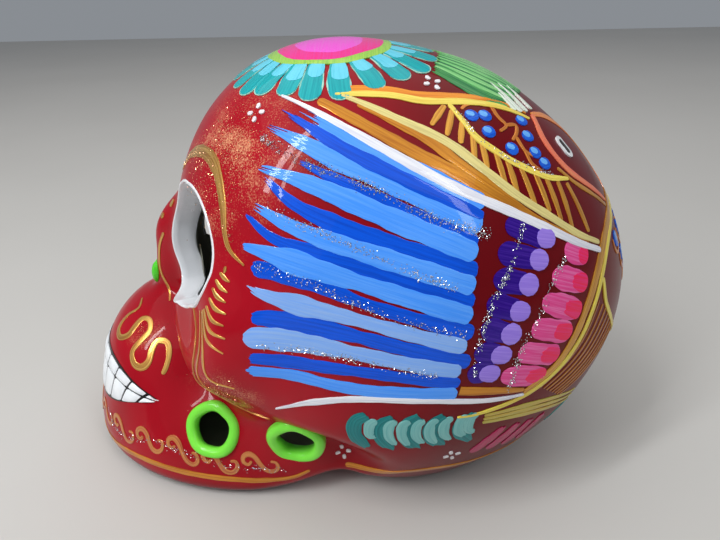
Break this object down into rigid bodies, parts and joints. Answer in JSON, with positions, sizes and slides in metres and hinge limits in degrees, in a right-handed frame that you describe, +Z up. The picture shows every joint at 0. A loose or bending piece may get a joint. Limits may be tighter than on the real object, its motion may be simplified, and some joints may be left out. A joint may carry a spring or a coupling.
{
  "type": "painted clay skull figure",
  "caption": "Hollow hand-pressed clay skull that stands on its base, with lined eye sockets, round collared cheek holes and relief teeth.",
  "frame": {"origin": "on the surface the skull stands on, under the middle of its bounding box", "axes": "+Z up, -Y the way the face looks, +X towards the skull's own left side"},
  "size_m": [0.1162, 0.169, 0.1214],
  "materials": {
    "red_glazed_clay": "crimson paint under clear gloss lacquer",
    "white_glazed_clay": "white paint under clear gloss lacquer",
    "green_glazed_clay": "lime green paint under clear gloss lacquer"
  },
  "bodies": {
    "root": {"left_half": "red_glazed_clay", "right_half": "red_glazed_clay", "left_eye_lining": "white_glazed_clay", "right_eye_lining": "white_glazed_clay", "left_front_cheek_collar": "green_glazed_clay", "left_rear_cheek_collar": "green_glazed_clay", "right_front_cheek_collar": "green_glazed_clay", "right_rear_cheek_collar": "green_glazed_clay", "upper_teeth": "white_glazed_clay", "lower_teeth": "white_glazed_clay"}
  },
  "joints": []
}
